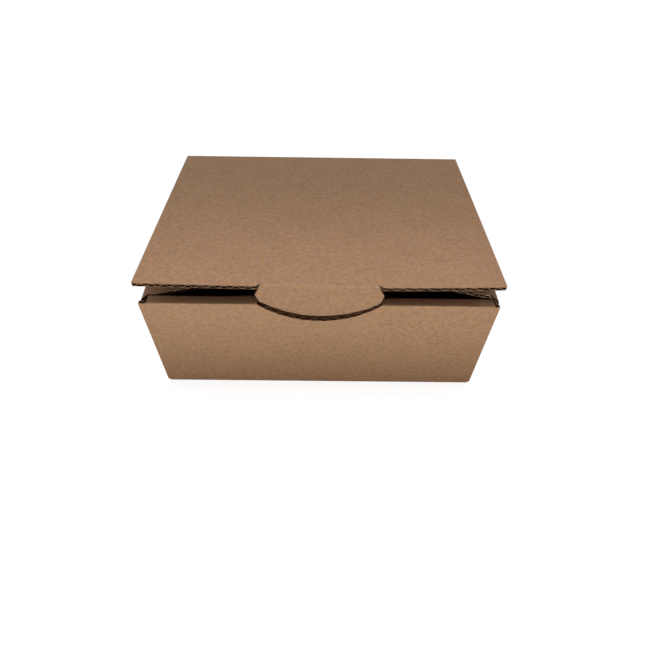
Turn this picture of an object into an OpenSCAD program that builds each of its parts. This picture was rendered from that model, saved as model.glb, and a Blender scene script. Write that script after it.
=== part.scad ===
// Tab-lock mailer box, folded from one die-cut sheet of single-wall corrugated board.
// Origin: middle of the underside. +X to the right, +Y to the hinged back, +Z up.
// The lid is drawn as it springs: a few degrees ajar, with its tongue in the front slot.

/* [Box] */
// Outer width, side to side
box_w = 220; // [180:1:320]
// Outer depth, front to back
box_d = 164; // [120:1:260]
// Height of the walls, from the underside to the top folds
wall_h = 82; // [60:1:130]
// How far each side wall stands in from the ends of the front and back walls
side_inset = 0.5; // [0.2:0.1:1]
// In-plane rounding of the bottom corners of the front and back walls
corner_r = 2; // [1:0.25:4]

/* [Board] */
// Board thickness over both liners
board_t = 2.4; // [2:0.1:3]
// Thickness of each liner
liner_t = 0.3; // [0.2:0.05:0.4]
// Thickness of the fluted sheet between the liners
medium_t = 0.25; // [0.15:0.05:0.35]
// Length of one full wave of the fluted sheet
flute_pitch = 7; // [5:0.5:9]
// Outer radius of every fold
fold_r = 1.6; // [1:0.1:1.8]
// Width of the band beside a fold where the flutes are crushed shut
crease_w = 4; // [3:0.5:8]
// Gap left between layers that lie together
layer_gap = 0.2; // [0.1:0.05:0.4]

/* [Lid] */
// Angle at which the lid stands ajar
lid_ajar = 4.8; // [2:0.1:8]
// Running gap between the lid and the back wall and liner that hinge it
hinge_gap = 0.2; // [0.1:0.05:0.5]
// Rounding of the lid's front corners
lid_front_r = 1.2; // [0.5:0.1:4]
// Rounding of the lid's back corners
lid_back_r = 2; // [0.5:0.1:4]

/* [Tongue] */
// Width of the tongue where it is folded from the lid
tongue_root_w = 70; // [50:1:72]
// How far the tongue's shoulders stand out past the notch on each side
shoulder_over = 1.1; // [0.5:0.1:3]
// Distance from the fold to the shoulders
shoulder_drop = 8.5; // [4:0.5:10]
// Play of the tongue in the slot, all round
tongue_play = 0.5; // [0.3:0.1:1]
// How far the tongue reaches below the notch, behind the front wall
tongue_hidden = 4; // [3:0.5:8]
// Lean of the tongue from upright, tip towards the back
tongue_lean = 2; // [1:0.1:3]
// Distance between the tongue and the front wall's inner face at the notch
pocket_gap = 0.8; // [0.5:0.1:1]
// How far the tongue's fold lies behind the lid's cut front edge
tongue_setback = 1.2; // [0.5:0.1:2]
// Width of the slit that ends the tongue's fold on each side
slit_w = 0.8; // [0.5:0.1:1.2]
// Length of that slit, cut past the lid's front edge
slit_l = 5; // [4:0.1:7]
// Slant of that slit, outwards as it runs to the lid's front edge
slit_slant = 42; // [30:1:50]
// How far that slit is cut behind the fold
slit_over = 1.2; // [0.5:0.1:2]

/* [Front wall] */
// Width of the arc notch at the top fold
notch_w = 75.6; // [74:0.2:90]
// Depth of the arc notch
notch_d = 14.4; // [10:0.2:18]
// How far the tongue's slot runs past the notch on each side
slot_over = 0.3; // [0.2:0.1:1]
// Lean of the inner roll-over panel, foot towards the back
roll_lean = 2.5; // [2:0.1:4]
// Distance from each end of the roll-over to the end of the front wall
roll_inset = 3.8; // [3.6:0.1:6]

/* [Locking feet] */
// Width of each foot
foot_w = 34; // [20:1:40]
// Distance from the middle of the box to the middle of each foot
foot_x = 62; // [40:1:65]
// Play of each foot in its slot in the bottom
foot_play = 0.4; // [0.2:0.1:0.8]
// Height of the feet's ends above the underside
foot_recess = 0.3; // [0.2:0.1:1]

/* [Dust flaps] */
// Reach of each dust flap in from its fold
flap_reach = 66; // [45:1:80]
// Gap between the lid and the corner of each flap that rises nearest to it
flap_gap = 0.3; // [0.2:0.05:0.6]
// Length of the flap's square front shoulder, beside the roll-over
flap_shoulder = 8.5; // [6:0.5:12]
// Slope of the flap's front edge past that shoulder
front_taper = 15; // [8:1:18]
// Slope of the flap's rear edge
rear_taper = 10; // [8:1:15]
// Rounding of the flap's free corners
flap_r = 9; // [4:0.5:14]
// Distance between a flap's edges and the walls beside them
flap_play = 0.5; // [0.4:0.1:1.5]

/* [Corner ears] */
// Length of each ear, measured along the wall that it backs
ear_l = 50; // [30:1:55]
// Narrowing of the ear at its end, on each edge
ear_taper = 3; // [1:0.5:8]
// Distance from the ears' edges to the bottom and to the top fold
ear_play = 0.4; // [0.2:0.1:1]

/* [Hidden] */
$fn = 64;

kraft = [0.66, 0.51, 0.38];
kraft_lid = [0.62, 0.47, 0.36];

// Length of a cut past the face that it opens
spare = 1;
// Share of its radius by which a rounding's circle stands past the two faces, so that it crosses them
graze = 0.002;
// The crushed band of a fold and the free board overlap by this much where they join
bite = (board_t - fold_r) / 2;

// Flute wave: half of a tunnel's width and the angle step along its floor
tunnel_span = 150;
tunnel_step = 50;
core_h = board_t - 2 * liner_t;
wave_amp = (core_h - medium_t) / 2;
tunnel_half = tunnel_span / 360 * flute_pitch;

// Walls
front_y = -box_d / 2;
back_y = box_d / 2;
side_x = box_w / 2 - side_inset;
side_end_y = back_y - board_t - layer_gap;
notch_r = (pow(notch_w / 2, 2) + pow(notch_d, 2)) / (2 * notch_d);
notch_z = wall_h - notch_d;
roll_d = 3 * board_t + 2 * layer_gap;
roll_y = front_y + roll_d;
roll_half = box_w / 2 - roll_inset;
roll_foot_z = board_t + ear_play;

// Hinge axis: the outer liner's corner above the back wall
hinge_y = back_y;
hinge_z = wall_h + board_t;

// The tongue's outer face passes the notch's lowest point at the pocket gap
pocket_y = front_y + board_t + pocket_gap;
// Angle between the lid's flat underside and the tongue, less a right angle
tongue_tuck = lid_ajar + tongue_lean;
// Distance from the hinge axis to the tongue's fold, along the lid
fold_run = ((hinge_y - pocket_y) * cos(tongue_lean) + (hinge_z - notch_z) * sin(tongue_lean))
    / cos(tongue_tuck);
lid_l = fold_run + tongue_setback;
lid_start = liner_t + hinge_gap;
fold_z = hinge_z + fold_run * sin(lid_ajar);
// Distances down the tongue from its fold to the wall's top fold and to its own tip
tongue_entry = (fold_z - wall_h) / cos(tongue_lean);
tongue_l = (fold_z - notch_z + tongue_hidden) / cos(tongue_lean);
// The fold's rounding, and a little more, takes up this much of the tongue
fold_reach = fold_r / tan((90 - tongue_tuck) / 2) + bite;
entry_half = notch_w / 2 - tongue_play;
tongue_end_r = notch_r + tongue_hidden;
// Back edge of the slot: the tongue's inner face under the strip, and its play
slot_y = pocket_y + board_t - (wall_h - board_t - notch_z) * tan(tongue_lean) + tongue_play;

// Dust flaps: ends of the free edge, and the rise that brings the rear one up under the lid
flap_clear_y = roll_y + flap_play;
flap_front_in = flap_clear_y + (flap_reach - flap_shoulder) * tan(front_taper);
flap_rear_out = side_end_y - flap_play;
flap_rear_in = flap_rear_out - flap_reach * tan(rear_taper);
flap_rise = atan(((back_y - flap_rear_in) * tan(lid_ajar) - flap_gap) / flap_reach);

// Runs a profile drawn in y and z along x, centred
module across(run) {
    rotate([90, 0, 90])
        linear_extrude(run, center = true)
            children();
}

// Runs a profile drawn in x and z along y, centred
module lengthwise(run) {
    rotate([90, 0, 0])
        linear_extrude(run, center = true)
            children();
}

// Gives an outline drawn in x and z the thickness of the board, from y = 0 to the back
module upright_board() {
    translate([0, board_t, 0])
        rotate([90, 0, 0])
            linear_extrude(board_t)
                children();
}

// What a radius takes off a corner at the origin. One face runs along +x, the other at the angle
module corner_cut(angle, r) {
    reach = r / tan(angle / 2);
    out = -spare / sin(angle / 2);
    difference() {
        polygon([
            [out * cos(angle / 2), out * sin(angle / 2)],
            [reach, -spare],
            [reach, r],
            [reach * cos(angle) - spare * sin(angle), reach * sin(angle) + spare * cos(angle)]
        ]);
        translate([reach, r])
            circle(r * (1 + graze));
    }
}

// Section of the board round a fold. The outer corner is at the origin, one outer face runs
// along +x and the other at the angle, and the board lies between them
module bend(angle, leg_a, leg_b) {
    difference() {
        union() {
            square([leg_a, board_t]);
            rotate(angle)
                translate([0, -board_t])
                    square([leg_b, board_t]);
        }
        translate([-board_t, -board_t])
            square([2 * board_t, board_t]);
        rotate(angle)
            translate([-board_t, 0])
                square([2 * board_t, board_t]);
        corner_cut(angle, fold_r);
    }
}

// Section of one tunnel over a trough of the fluted sheet
module tunnel() {
    top = core_h / 2;
    side = tunnel_half;
    trough = [for (a = [-tunnel_span : tunnel_step : tunnel_span])
        [a / 360 * flute_pitch, medium_t / 2 - wave_amp * cos(a)]];
    polygon(concat(trough, [[side, top], [-side, top]]));
}

// Tunnels of a board that stands on z = 0 with its thickness along y, centred in x.
// They alternate between the two liners. A middle width can be left closed
module flutes(width, run, closed = 0) {
    half_pitch = flute_pitch / 2;
    last = floor((width / 2 - liner_t - tunnel_half) / half_pitch);
    linear_extrude(run)
        for (i = [-last : last])
            if (closed == 0 || abs(i) * half_pitch - tunnel_half > closed / 2)
                translate([i * half_pitch, board_t / 2])
                    if (i % 2 == 0) {
                        tunnel();
                    } else {
                        mirror([0, 1])
                            tunnel();
                    }
}

// Outline of a wall that spans the whole width
module wall_outline(height) {
    difference() {
        translate([-box_w / 2, 0])
            square([box_w, height]);
        for (side = [0, 1])
            mirror([side, 0])
                translate([-box_w / 2, 0])
                    corner_cut(90, corner_r);
    }
}

// Outer front panel: arc notch, rounded bottom fold and top fold, flutes open at the cut edges
module front_panel() {
    end_w = roll_inset - 2 * liner_t;
    difference() {
        translate([0, front_y, 0])
            upright_board()
                difference() {
                    wall_outline(wall_h);
                    translate([0, notch_z + notch_r])
                        circle(notch_r, $fn = 180);
                }
        across(box_w + 2 * spare)
            translate([front_y, 0])
                corner_cut(90, fold_r);
        across(2 * roll_half)
            translate([front_y, wall_h])
                rotate(-90)
                    corner_cut(90, fold_r);
        translate([0, front_y, board_t + crease_w])
            flutes(notch_w, wall_h);
        for (side = [-1, 1])
            translate([side * (box_w / 2 - liner_t - end_w / 2) - end_w / 2, front_y + liner_t, wall_h / 2])
                cube([end_w, core_h, wall_h]);
    }
}

// Section of the strip between the two front creases and of the panel that hangs from it
module roll_profile() {
    hang = (wall_h - roll_foot_z) / cos(roll_lean);
    difference() {
        union() {
            translate([front_y, wall_h - board_t])
                square([roll_d - fold_r, board_t]);
            translate([roll_y, wall_h])
                rotate(roll_lean)
                    translate([-board_t, -hang])
                        square([board_t, hang]);
        }
        translate([front_y, wall_h])
            rotate(-90)
                corner_cut(90, fold_r);
        translate([roll_y, wall_h])
            rotate(180)
                corner_cut(90 + roll_lean, fold_r);
    }
}

// One locking foot, in line with the leaning panel
module foot() {
    from_top = (wall_h - roll_foot_z - bite) / cos(roll_lean);
    to_end = (wall_h - foot_recess) / cos(roll_lean);
    translate([0, roll_y, wall_h])
        rotate([roll_lean, 0, 0])
            translate([-foot_w / 2, -board_t, -to_end])
                cube([foot_w, board_t, to_end - from_top]);
}

// Roll-over: strip and inner panel in one, the tongue's slot, and the two feet
module roll_over() {
    slot_half = notch_w / 2 + slot_over;
    difference() {
        across(2 * roll_half)
            roll_profile();
        translate([-slot_half, front_y - spare, wall_h - board_t - spare])
            cube([2 * slot_half, slot_y - front_y + spare, board_t + 2 * spare]);
    }
    for (side = [-1, 1])
        translate([side * foot_x, 0, 0])
            foot();
}

// Bottom panel between the folds, with the feet's slots
module bottom() {
    plate_w = 2 * (side_x - board_t + bite);
    plate_d = box_d - 2 * (board_t - bite);
    slot_back = roll_y + wall_h * tan(roll_lean) + foot_play;
    slot_front = roll_y + (wall_h - board_t) * tan(roll_lean) - board_t / cos(roll_lean) - foot_play;
    difference() {
        translate([-plate_w / 2, -plate_d / 2, 0])
            cube([plate_w, plate_d, board_t]);
        for (side = [-1, 1])
            translate([side * foot_x - foot_w / 2 - foot_play, slot_front, -spare])
                cube([foot_w + 2 * foot_play, slot_back - slot_front, board_t + 2 * spare]);
    }
}

// Back wall, with the outer liner that runs on up to the hinge axis
module back_panel() {
    difference() {
        translate([0, back_y - board_t, 0])
            upright_board()
                wall_outline(wall_h - hinge_gap);
        across(box_w + 2 * spare)
            translate([back_y, 0])
                rotate(90)
                    corner_cut(90, fold_r);
    }
    translate([-box_w / 2, back_y - liner_t, wall_h - board_t])
        cube([box_w, liner_t, 2 * board_t]);
}

// Section of a side wall with its bottom fold, up to where the ears end
module side_profile() {
    translate([-side_x, 0])
        difference() {
            square([board_t, wall_h - board_t - ear_play]);
            corner_cut(90, fold_r);
        }
}

// Section of a side wall's top, of the fold above it and of the dust flap
module flap_profile() {
    stub = board_t + ear_play + bite;
    translate([-side_x, wall_h])
        rotate(-90)
            bend(90 + flap_rise, stub, flap_reach + spare);
}

// Open bend of the liners round a side wall's top fold, seen at the fold's cut ends
module fold_hollow() {
    centre = [fold_r - side_x, wall_h - fold_r];
    translate(centre)
        intersection() {
            difference() {
                circle(fold_r - liner_t);
                circle(fold_r - liner_t - medium_t * 3);
            }
            translate([-fold_r, 0])
                square(fold_r);
        }
}

// Side wall and its two ears in plan
module wall_and_ears_plan() {
    difference() {
        union() {
            translate([-side_x, -side_end_y])
                square([board_t, 2 * side_end_y]);
            for (end = [0, 1])
                mirror([0, end])
                    translate([-side_x, -side_end_y])
                        square([ear_l, board_t]);
        }
        for (end = [0, 1])
            mirror([0, end])
                translate([-side_x, -side_end_y])
                    corner_cut(90, fold_r);
    }
}

// The ears narrow towards their ends
module wall_and_ears() {
    low = board_t + ear_play;
    high = wall_h - board_t - ear_play;
    intersection() {
        translate([0, 0, low])
            linear_extrude(high - low)
                wall_and_ears_plan();
        lengthwise(box_d)
            polygon([
                [-side_x, low],
                [-side_x + board_t, low],
                [-side_x + ear_l, low + ear_taper],
                [-side_x + ear_l, high - ear_taper],
                [-side_x + board_t, high],
                [-side_x, high]
            ]);
    }
}

// Dust flap in plan, its fold with it: x runs in from the fold, y to the back
module flap_outline() {
    cut_in = side_x - roll_half + flap_play;
    difference() {
        polygon([
            [-spare, -flap_rear_out],
            [0, -flap_rear_out],
            [cut_in, flap_clear_y],
            [flap_shoulder, flap_clear_y],
            [flap_reach, flap_front_in],
            [flap_reach, flap_rear_in],
            [0, flap_rear_out],
            [-spare, flap_rear_out]
        ]);
        translate([flap_reach, flap_front_in])
            rotate(90)
                corner_cut(90 + front_taper, flap_r);
        translate([flap_reach, flap_rear_in])
            rotate(180 - rear_taper)
                corner_cut(90 + rear_taper, flap_r);
    }
}

// Dust flap and its fold, cut square to the flap, with its flutes open at both cut edges
module dust_flap() {
    flute_w = flap_reach - crease_w;
    deep = 2 * board_t;
    difference() {
        intersection() {
            lengthwise(box_d)
                difference() {
                    flap_profile();
                    fold_hollow();
                }
            translate([-side_x, 0, wall_h])
                rotate([0, -flap_rise, 0])
                    translate([0, 0, -deep])
                        linear_extrude(deep + spare)
                            flap_outline();
        }
        translate([-side_x, 0, wall_h])
            rotate([0, -flap_rise, 0])
                translate([crease_w + flute_w / 2, back_y, -board_t])
                    rotate([90, 0, 0])
                        flutes(flute_w, box_d);
    }
}

// Left side wall with everything folded from it
module side_wall() {
    lengthwise(2 * (side_end_y - fold_r))
        side_profile();
    wall_and_ears();
    dust_flap();
}

// The folded sheet up to the hinge crease
module tray() {
    color(kraft)
        union() {
            bottom();
            front_panel();
            roll_over();
            back_panel();
            for (side = [0, 1])
                mirror([side, 0, 0])
                    side_wall();
        }
}

// Lid panel in plan, from the hinge axis forwards, left out where the tongue's fold is bent
module lid_outline() {
    bent = fold_run - crease_w + bite;
    difference() {
        translate([-box_w / 2, -lid_l])
            square([box_w, lid_l - lid_start]);
        translate([-tongue_root_w / 2, -lid_l - spare])
            square([tongue_root_w, lid_l + spare - bent]);
        for (side = [0, 1])
            mirror([side, 0]) {
                translate([-box_w / 2, -lid_l])
                    corner_cut(90, lid_front_r);
                translate([-box_w / 2, -lid_start])
                    rotate(-90)
                        corner_cut(90, lid_back_r);
            }
    }
}

// Slits that end the tongue's fold, cut slantwise in from the lid's front edge
module fold_slits() {
    for (side = [0, 1])
        mirror([side, 0, 0])
            translate([tongue_root_w / 2 - slit_w / 2, slit_over - fold_run, -2 * board_t])
                rotate(slit_slant)
                    translate([0, -slit_l, 0])
                        cube([slit_w, slit_l, 3 * board_t]);
}

// Tongue outline: x across, y down from the fold as negative values
module tongue_outline() {
    shoulder_half = notch_w / 2 + shoulder_over;
    intersection() {
        polygon([
            [-tongue_root_w / 2, 0],
            [-shoulder_half, -shoulder_drop],
            [-entry_half, -tongue_entry + spare],
            [-entry_half + tongue_play, -tongue_l - spare],
            [entry_half - tongue_play, -tongue_l - spare],
            [entry_half, -tongue_entry + spare],
            [shoulder_half, -shoulder_drop],
            [tongue_root_w / 2, 0]
        ]);
        translate([-notch_w, -tongue_l - spare])
            square([2 * notch_w, tongue_l + spare - fold_reach]);
        translate([0, tongue_end_r - tongue_l])
            circle(tongue_end_r, $fn = 180);
    }
}

// Tongue below its fold, with its flutes open at the rounded end
module tongue() {
    difference() {
        upright_board()
            tongue_outline();
        translate([0, 0, -tongue_l - spare])
            flutes(notch_w - 2 * crease_w, tongue_l + spare - crease_w);
    }
}

// Lid panel and tongue, laid out from the hinge axis with the lid's top face at z = 0
module lid_sheet() {
    difference() {
        union() {
            translate([0, 0, -board_t])
                linear_extrude(board_t)
                    lid_outline();
            across(tongue_root_w)
                translate([-fold_run, 0])
                    mirror([0, 1])
                        bend(90 - tongue_tuck, crease_w, crease_w);
            translate([0, -fold_run, 0])
                rotate([tongue_tuck, 0, 0])
                    tongue();
        }
        fold_slits();
        translate([0, -lid_start - crease_w, -board_t])
            rotate([90, 0, 0])
                flutes(box_w, lid_l, tongue_root_w + 2 * slit_l);
    }
}

// The sheet beyond the hinge crease, standing ajar
module lid() {
    color(kraft_lid)
        translate([0, hinge_y, hinge_z])
            rotate([-lid_ajar, 0, 0])
                lid_sheet();
}

tray();
lid();
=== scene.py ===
"""Dresses the corrugated mailer box: the plies of its board, its folds and its raw cut edges.

The box is one folded sheet, so its looks are built as the sheet is: an outer liner, an inner liner
and the fluted medium between them, carried round every fold. Lengths are in millimetres in the
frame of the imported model, and turn into metres only where an object or a blend is made.
"""

import logging
import math
from collections.abc import Callable
from dataclasses import dataclass, field
from enum import Enum

import bmesh
import bpy
import numpy as np
from mathutils import Matrix, Vector

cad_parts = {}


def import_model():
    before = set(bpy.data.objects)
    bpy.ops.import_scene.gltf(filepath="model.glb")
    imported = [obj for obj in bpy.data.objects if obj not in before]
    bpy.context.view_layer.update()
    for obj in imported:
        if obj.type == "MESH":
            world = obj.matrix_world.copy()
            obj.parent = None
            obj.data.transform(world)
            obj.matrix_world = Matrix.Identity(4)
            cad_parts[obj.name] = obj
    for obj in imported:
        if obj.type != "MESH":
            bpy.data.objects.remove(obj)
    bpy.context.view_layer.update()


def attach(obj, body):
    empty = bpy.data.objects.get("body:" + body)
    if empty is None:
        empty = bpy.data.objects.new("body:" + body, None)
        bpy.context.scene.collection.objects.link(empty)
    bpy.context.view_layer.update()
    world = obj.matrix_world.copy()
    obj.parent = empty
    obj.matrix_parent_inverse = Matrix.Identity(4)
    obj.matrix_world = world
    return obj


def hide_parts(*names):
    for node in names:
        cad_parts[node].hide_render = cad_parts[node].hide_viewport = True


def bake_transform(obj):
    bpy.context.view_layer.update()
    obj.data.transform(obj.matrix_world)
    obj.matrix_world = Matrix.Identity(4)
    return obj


Point = tuple[float, float]
Outline = list[Point]
Face = tuple[int, ...]
Triple = tuple[float, float, float]
Move = Callable[[np.ndarray], np.ndarray]
Socket = bpy.types.NodeSocket
Piece = bpy.types.Object

LOG = logging.getLogger("mailer_box")
MM = 0.001
IMAGE_PX = 650
HANDS = (-1, 1)
X, Y, Z = np.eye(3)
# Material places on a ply: its paper, its cut edge, and the side that faces the flutes
# Painted shade: the sides facing the flutes take near-black paper for the shade in the channels,
# and cut edges are darkened in part as painted shade
PAPER, CUT, CHANNEL_SHADE = range(3)
# Share of a bowed panel's crown that its two ends keep
CROWN_ENDS = 0.6
# Spacing of a stretch's dividing lines along the flutes, in mm
GRID = 16.0
# Steps of a pitch in the medium's wave, on a stretch seen closely and on another
WAVE_STEPS, COARSE_STEPS = 12, 8
# A dividing line this close to a point, in mm, passes through it
TOUCH = 1e-5
# Points closer than this many metres are welded
WELD = 2e-6
# Edges of a ply that turn by more than this many degrees stay sharp
SHARP = 35.0
# Chords round a fold, and points on each leg of it
FOLD_CHORDS, LEG_POINTS = 8, 3


class Ply(Enum):
    """The three papers that the board is glued from."""

    OUTER = "outer_liner"
    INNER = "inner_liner"
    FLUTE = "fluted_medium"


class Flutes(Enum):
    """Which of a stretch's two directions the flutes run along."""

    ALONG_A = "a"
    ALONG_B = "b"


@dataclass(frozen=True)
class Board:
    """Sizes of the single-wall board, in mm. Leg is how far a fold reaches on each side."""

    thick: float = 2.4
    liner: float = 0.3
    medium: float = 0.25
    pitch: float = 7.0
    fold_r: float = 1.6
    crisp_r: float = 0.6
    inner_r: float = 0.25
    leg: float = 2.8
    crush: float = 0.72
    crush_power: float = 0.7
    # Half width of the pale band at a fold's middle, which is partly real rubbing and partly a
    # painted highlight
    rub_and_highlight_half: float = 0.55

    def wave(self, u: np.ndarray, squash: np.ndarray) -> tuple[np.ndarray, np.ndarray]:
        """Depths of the two faces of the fluted medium below the outer face.

        Args:
            u: Distance across the flutes.
            squash: Share of the wave's height that a fold has crushed away.

        Returns:
            Depth of the face nearer the outer liner, and of the face nearer the inner one.
        """
        height = (self.thick / 2 - self.liner - self.medium / 2) * (1 - squash)
        turn = 2 * math.pi / self.pitch
        middle = self.thick / 2 - height * np.cos(u * turn)
        half = self.medium / 2 * np.sqrt(1 + (height * turn * np.sin(u * turn)) ** 2)
        return middle - half, middle + half


@dataclass(frozen=True)
class BoxSizes:
    """Sizes of the box as its source gives them, in mm and degrees."""

    width: float = 220.0
    depth: float = 164.0
    wall_h: float = 82.0
    side_inset: float = 0.5
    layer_gap: float = 0.2
    ajar: float = 4.8
    tongue_root: float = 70.0
    tongue_lean: float = 2.0
    pocket_gap: float = 0.8
    notch_w: float = 75.6
    notch_d: float = 14.4
    slot_over: float = 0.3
    roll_lean: float = 2.5
    roll_inset: float = 3.8
    foot_w: float = 34.0
    foot_x: float = 62.0
    foot_play: float = 0.4
    foot_recess: float = 0.3
    flap_reach: float = 66.0
    flap_gap: float = 0.3
    flap_shoulder: float = 8.5
    front_taper: float = 15.0
    rear_taper: float = 10.0
    flap_r: float = 9.0
    flap_play: float = 0.5
    ear_l: float = 50.0
    ear_taper: float = 3.0
    hinge_gap: float = 0.2
    board: Board = Board()

    @property
    def front_y(self) -> float:
        """Outer face of the front wall."""
        return -self.depth / 2

    @property
    def back_y(self) -> float:
        """Outer face of the back wall."""
        return self.depth / 2

    @property
    def side_x(self) -> float:
        """Outer face of the side walls."""
        return self.width / 2 - self.side_inset

    @property
    def side_end_y(self) -> float:
        """Outer face of the ears that back the front and back walls."""
        return self.back_y - self.board.thick - self.layer_gap

    @property
    def notch_r(self) -> float:
        """Radius of the arc notch."""
        return ((self.notch_w / 2) ** 2 + self.notch_d**2) / (2 * self.notch_d)

    @property
    def notch_z(self) -> float:
        """Height of the middle of the notch's arc."""
        return self.wall_h - self.notch_d + self.notch_r

    def notch_half(self, z: float) -> float:
        """Half of the notch's width at a height."""
        return math.sqrt(self.notch_r**2 - (self.notch_z - z) ** 2)

    @property
    def roll_y(self) -> float:
        """Outer face of the roll-over panel at its top fold."""
        return self.front_y + 3 * self.board.thick + 2 * self.layer_gap

    @property
    def hinge_z(self) -> float:
        """Height of the hinge axis."""
        return self.wall_h + self.board.thick

    @property
    def pocket_y(self) -> float:
        """Where the tongue's outer face passes the lowest point of the notch."""
        return self.front_y + self.board.thick + self.pocket_gap

    @property
    def fold_run(self) -> float:
        """Distance from the hinge axis to the tongue's fold, along the lid.

        Returns:
            The distance.
        """
        lean = math.radians(self.tongue_lean)
        tuck = math.radians(self.ajar + self.tongue_lean)
        drop = self.hinge_z - (self.wall_h - self.notch_d)
        level = (self.back_y - self.pocket_y) * math.cos(lean)
        return (level + drop * math.sin(lean)) / math.cos(tuck)

    @property
    def flap_rise(self) -> float:
        """Upward slope of the dust flaps, in degrees.

        Returns:
            The slope.
        """
        taper = self.flap_reach * math.tan(math.radians(self.rear_taper))
        room = self.back_y - (self.side_end_y - self.flap_play - taper)
        rise = room * math.tan(math.radians(self.ajar)) - self.flap_gap
        return math.degrees(math.atan(rise / self.flap_reach))


def vec(x: float, y: float, z: float) -> np.ndarray:
    """A point or direction in the frame."""
    return np.array([x, y, z], float)


def gone_along(line: np.ndarray) -> np.ndarray:
    """How far each point of a line is from its start, along it."""
    return np.concatenate([[0.0], np.cumsum(np.linalg.norm(np.diff(line, axis=0), axis=1))])


def eased(share: np.ndarray) -> np.ndarray:
    """A soft step: 0 below 0, 1 above 1, and level at both ends."""
    share = np.clip(share, 0, 1)
    return share * share * (3 - 2 * share)


def box_outline(a0: float, a1: float, b0: float, b1: float) -> Outline:
    """A rectangle in a and b."""
    return [(a0, b0), (a1, b0), (a1, b1), (a0, b1)]


def mirrored(side: Outline) -> Outline:
    """A side of an outline, and the same side turned over to the other sign of b."""
    return side + [(a, -b) for a, b in reversed(side)]


def arc_points(centre: Point, radius: float, start: float, end: float, steps: int) -> Outline:
    """Points along an arc.

    Args:
        centre: Middle of the arc.
        radius: Its radius.
        start: Angle of its first point, in degrees.
        end: Angle of its last point, in degrees.
        steps: Number of chords.

    Returns:
        The points, both ends included.
    """
    turns = np.radians(np.linspace(start, end, steps + 1))
    return [(centre[0] + radius * math.cos(t), centre[1] + radius * math.sin(t)) for t in turns]


def rounded(outline: Outline, radii: dict[int, float], steps: int = 6) -> Outline:
    """Rounds some corners of an outline.

    Args:
        outline: The corners, in order.
        radii: Radius for each corner that is rounded, by its place in the outline.
        steps: Chords in each rounding.

    Returns:
        The new outline.
    """
    made: Outline = []
    for i, corner in enumerate(outline):
        if i not in radii:
            made.append(corner)
            continue
        here = np.array(corner)
        before = np.array(outline[i - 1]) - here
        after = np.array(outline[(i + 1) % len(outline)]) - here
        before, after = before / np.linalg.norm(before), after / np.linalg.norm(after)
        half = math.acos(float(np.clip(before @ after, -1, 1))) / 2
        middle = (before + after) / np.linalg.norm(before + after)
        centre = here + middle * radii[i] / math.sin(half)
        first = here + before * radii[i] / math.tan(half) - centre
        last = here + after * radii[i] / math.tan(half) - centre
        start, end = (math.degrees(math.atan2(p[1], p[0])) for p in (first, last))
        sweep = (end - start + 180) % 360 - 180
        made += arc_points((centre[0], centre[1]), radii[i], start, start + sweep, steps)
    return made


@dataclass(frozen=True)
class Flat:
    """A flat stretch: a and b lie in it, and depth runs from its outer face to its inner one."""

    origin: np.ndarray
    a_dir: np.ndarray
    b_dir: np.ndarray
    inward: np.ndarray

    def place(self, a: np.ndarray, b: np.ndarray, depth: np.ndarray) -> np.ndarray:
        """Points in the frame for sheet points and depths."""
        run = np.outer(a, self.a_dir) + np.outer(b, self.b_dir)
        return self.origin + run + np.outer(depth, self.inward)

    def squash(self, a: np.ndarray) -> np.ndarray:
        """No crushing on a flat stretch."""
        return np.zeros_like(a)

    def rub_and_highlight_share(self, a: np.ndarray) -> np.ndarray:
        """No fold rubbing or painted highlight on a flat stretch."""
        return np.zeros_like(a)


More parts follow.
